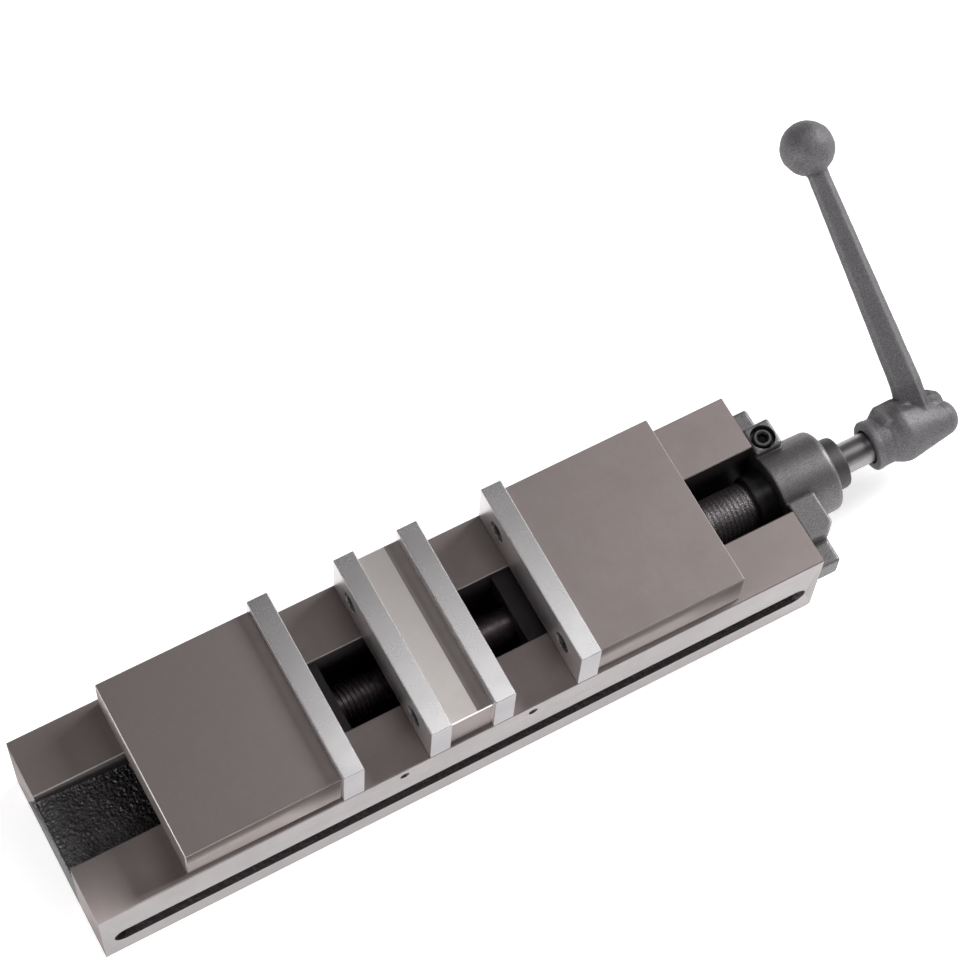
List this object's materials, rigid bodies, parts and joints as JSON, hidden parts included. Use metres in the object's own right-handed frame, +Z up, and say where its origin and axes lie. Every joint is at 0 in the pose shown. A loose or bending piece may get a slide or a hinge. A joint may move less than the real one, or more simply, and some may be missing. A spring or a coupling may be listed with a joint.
{
  "type": "self-centering machine vise",
  "caption": "Long two-station machine vise: a fixed centre jaw and two outer jaws that one screw with threads of both hands draws in together, turned by a ball crank.",
  "frame": {"origin": "centre of the underside of the bed, under the centre jaw", "axes": "+X along the screw towards the crank, +Y to the back, +Z up"},
  "size_m": [0.5015, 0.1952, 0.1202],
  "materials": {
    "ground_iron": "ground",
    "plate_steel": "fine ground",
    "black_screw": "black oxide",
    "bronze": "machined",
    "keeper_steel": "machined",
    "screw_steel": "oiled",
    "cast_iron": "cast, grey",
    "crank_iron": "cast, grey",
    "seal_rubber": "matt",
    "bearing_steel": "polished",
    "cage_brass": "machined"
  },
  "bodies": {
    "root": {"bed": "ground_iron", "centre_jaw": "ground_iron", "centre_plate_left": "plate_steel", "centre_plate_right": "plate_steel", "centre_plate_screws": "black_screw", "centre_jaw_bolts": "black_screw", "centre_bush": "bronze", "bearing_housing": "cast_iron", "housing_bolts": "black_screw", "housing_lock_screw": "black_screw", "gland_cap": "cast_iron", "shaft_seal": "seal_rubber", "inner_thrust_washers": "bearing_steel", "outer_thrust_washers": "bearing_steel", "inner_needle_cage": "cage_brass", "outer_needle_cage": "cage_brass", "needle_rollers": "bearing_steel"},
    "screw": {"lead_screw": "screw_steel"},
    "left_slide": {"left_jaw": "ground_iron", "left_plate": "plate_steel", "left_plate_screws": "black_screw", "left_nut": "bronze", "left_nut_screws": "black_screw", "left_keeper": "keeper_steel", "left_keeper_screws": "black_screw"},
    "right_slide": {"right_jaw": "ground_iron", "right_plate": "plate_steel", "right_plate_screws": "black_screw", "right_nut": "bronze", "right_nut_screws": "black_screw", "right_keeper": "keeper_steel", "right_keeper_screws": "black_screw"},
    "crank_arm": {"crank": "crank_iron"}
  },
  "joints": [
    {"name": "screw_turn", "type": "hinge", "parent": "root", "child": "screw", "pos_m": [0, 0, 0.0335], "axis": [-1, 0, 0], "range_deg": [-2160, 5011.2]},
    {"name": "left_travel", "type": "slide", "parent": "root", "child": "left_slide", "axis": [1, 0, 0], "range_m": [-0.01505, 0.03485]},
    {"name": "right_travel", "type": "slide", "parent": "root", "child": "right_slide", "axis": [-1, 0, 0], "range_m": [-0.01505, 0.03485]},
    {"name": "crank_pull", "type": "slide", "parent": "screw", "child": "crank_arm", "axis": [1, 0, 0], "range_m": [0, 0.032]}
  ],
  "couplings": [
    {"joint": "left_travel", "follows": "screw_turn", "m_per_rad": 0.00039789},
    {"joint": "right_travel", "follows": "screw_turn", "m_per_rad": 0.00039789}
  ]
}
